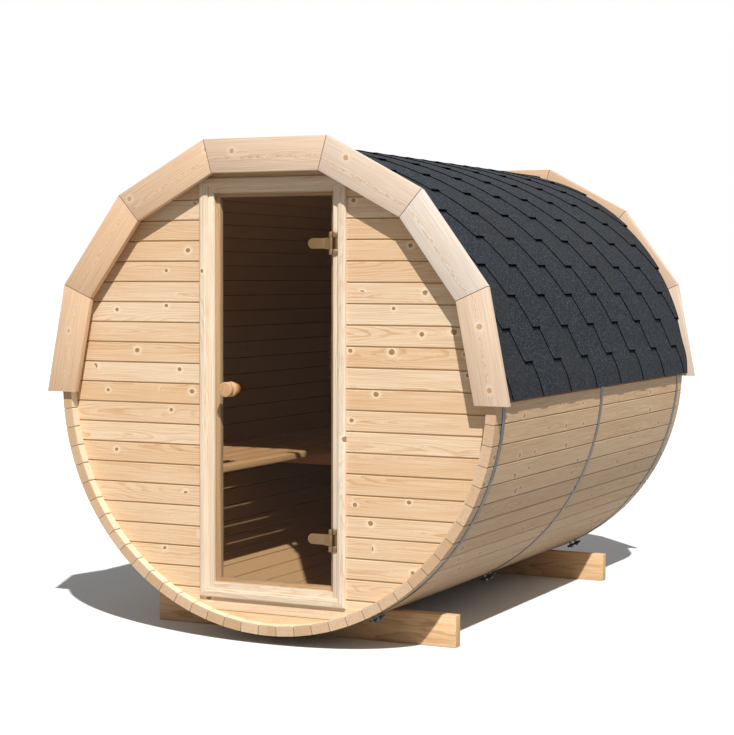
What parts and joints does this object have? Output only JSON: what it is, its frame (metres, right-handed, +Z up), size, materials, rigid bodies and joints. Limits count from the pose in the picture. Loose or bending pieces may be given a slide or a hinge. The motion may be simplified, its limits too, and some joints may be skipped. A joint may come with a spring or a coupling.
{
  "type": "barrel sauna",
  "caption": "Barrel-shaped garden sauna of bevelled softwood staves held by steel hoops, with flat board ends, a framed hinged glass door, a shingled roof with mitred fascia and cradle skids.",
  "frame": {"origin": "on the ground under the middle of the barrel", "axes": "+Z up, +Y from the door front to the rear wall along the barrel, +X to the right seen from the front"},
  "size_m": [2.1212, 2.556, 2.0657],
  "materials": {
    "stave_wood": "planed bare softwood",
    "wall_wood": "planed bare softwood boards",
    "frame_wood": "planed bare softwood",
    "fascia_wood": "planed bare softwood boards",
    "skid_wood": "sawn softwood plank",
    "bench_wood": "smooth bare hardwood",
    "knob_wood": "turned bare wood",
    "shingle": "mineral-faced bitumen shingle",
    "hoop_steel": "bright steel band",
    "hinge_metal": "satin bronze plate",
    "bronze_glass": "bronze-tinted toughened glass"
  },
  "bodies": {
    "root": {"staves_bottom": "stave_wood", "staves_lower_right": "stave_wood", "staves_upper_right": "stave_wood", "staves_upper_left": "stave_wood", "staves_lower_left": "stave_wood", "hoop_front": "hoop_steel", "hoop_middle": "hoop_steel", "hoop_rear": "hoop_steel", "skid_front": "skid_wood", "skid_rear": "skid_wood", "front_wall_left": "wall_wood", "front_wall_right": "wall_wood", "front_wall_top": "wall_wood", "front_wall_bottom": "wall_wood", "rear_wall": "wall_wood", "door_jamb_left": "frame_wood", "door_jamb_right": "frame_wood", "door_head": "frame_wood", "door_sill": "frame_wood", "trim_left": "frame_wood", "trim_right": "frame_wood", "trim_top": "frame_wood", "trim_bottom": "frame_wood", "hinge_plate_upper": "hinge_metal", "hinge_plate_lower": "hinge_metal", "eave_batten_left": "stave_wood", "eave_batten_right": "stave_wood", "roof_left": "shingle", "roof_right": "shingle", "roof_ridge": "shingle", "fascia_front": "fascia_wood", "fascia_rear": "fascia_wood", "bench_slats": "bench_wood", "bench_bearers": "bench_wood"},
    "door": {"door_glass": "bronze_glass", "hinge_leaf_upper": "hinge_metal", "hinge_leaf_lower": "hinge_metal", "knob_outside": "knob_wood", "knob_inside": "knob_wood"}
  },
  "joints": [
    {"name": "door_hinge", "type": "hinge", "parent": "root", "child": "door", "pos_m": [0.274, -1.217, 0], "axis": [0, 0, 1], "range_deg": [0, 105]}
  ]
}
